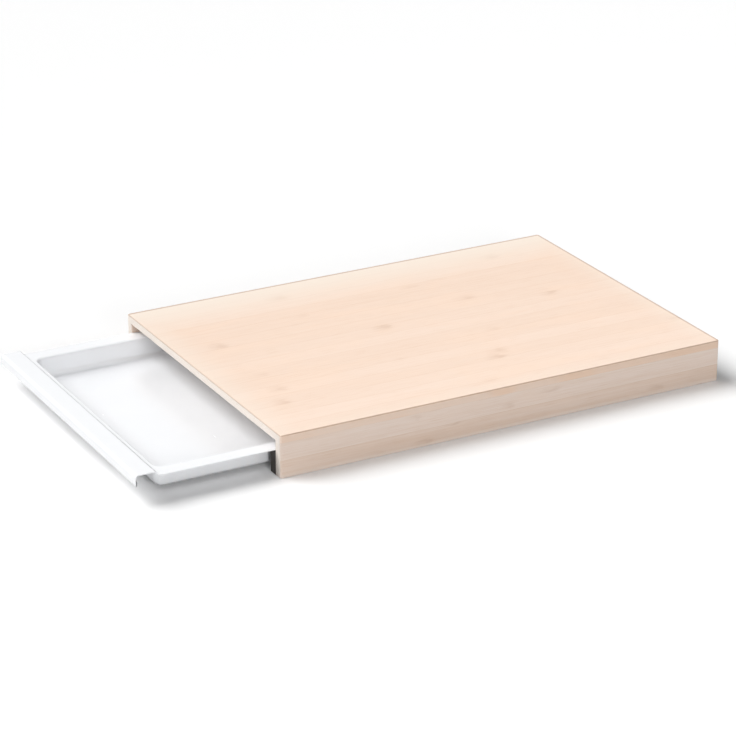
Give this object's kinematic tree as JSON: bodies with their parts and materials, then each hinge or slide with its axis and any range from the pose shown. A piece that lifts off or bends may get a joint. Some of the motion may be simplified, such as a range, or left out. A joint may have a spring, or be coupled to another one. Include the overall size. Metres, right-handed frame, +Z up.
{
  "type": "cutting board with drawer trays",
  "caption": "Low bamboo cutting board on two side walls, with wide shallow sheet steel trays that slide out from under its ends.",
  "frame": {"origin": "centre of the board's footprint, on the surface that it stands on; the open left tray isn't counted", "axes": "+X along the board towards the closed tray's end, +Y from the near side to the far side, +Z up out of the cutting surface"},
  "size_m": [0.5825, 0.32, 0.04],
  "materials": {
    "bamboo_top": "matte oiled bamboo, flat-pressed strips",
    "bamboo_wall": "matte oiled bamboo, strips on edge",
    "bamboo_frame": "plain sanded bamboo",
    "tray_steel": "satin stainless sheet"
  },
  "bodies": {
    "board": {"top_strip_01": "bamboo_top", "top_strip_02": "bamboo_top", "top_strip_03": "bamboo_top", "top_strip_04": "bamboo_top", "top_strip_05": "bamboo_top", "top_strip_06": "bamboo_top", "top_strip_07": "bamboo_top", "top_strip_08": "bamboo_top", "top_strip_09": "bamboo_top", "top_strip_10": "bamboo_top", "top_strip_11": "bamboo_top", "top_strip_12": "bamboo_top", "top_strip_13": "bamboo_top", "top_strip_14": "bamboo_top", "top_strip_15": "bamboo_top", "top_strip_16": "bamboo_top", "near_wall_lower": "bamboo_wall", "near_wall_upper": "bamboo_wall", "far_wall_lower": "bamboo_wall", "far_wall_upper": "bamboo_wall", "near_runner": "bamboo_frame", "far_runner": "bamboo_frame", "near_kicker": "bamboo_frame", "far_kicker": "bamboo_frame", "centre_bar": "bamboo_frame"},
    "left_tray": {"left_tray": "tray_steel"},
    "right_tray": {"right_tray": "tray_steel"}
  },
  "joints": [
    {"name": "left_tray_slide", "type": "slide", "parent": "board", "child": "left_tray", "axis": [-1, 0, 0], "range_m": [-0.1285, 0.048]},
    {"name": "right_tray_slide", "type": "slide", "parent": "board", "child": "right_tray", "axis": [1, 0, 0], "range_m": [0, 0.1765]}
  ]
}
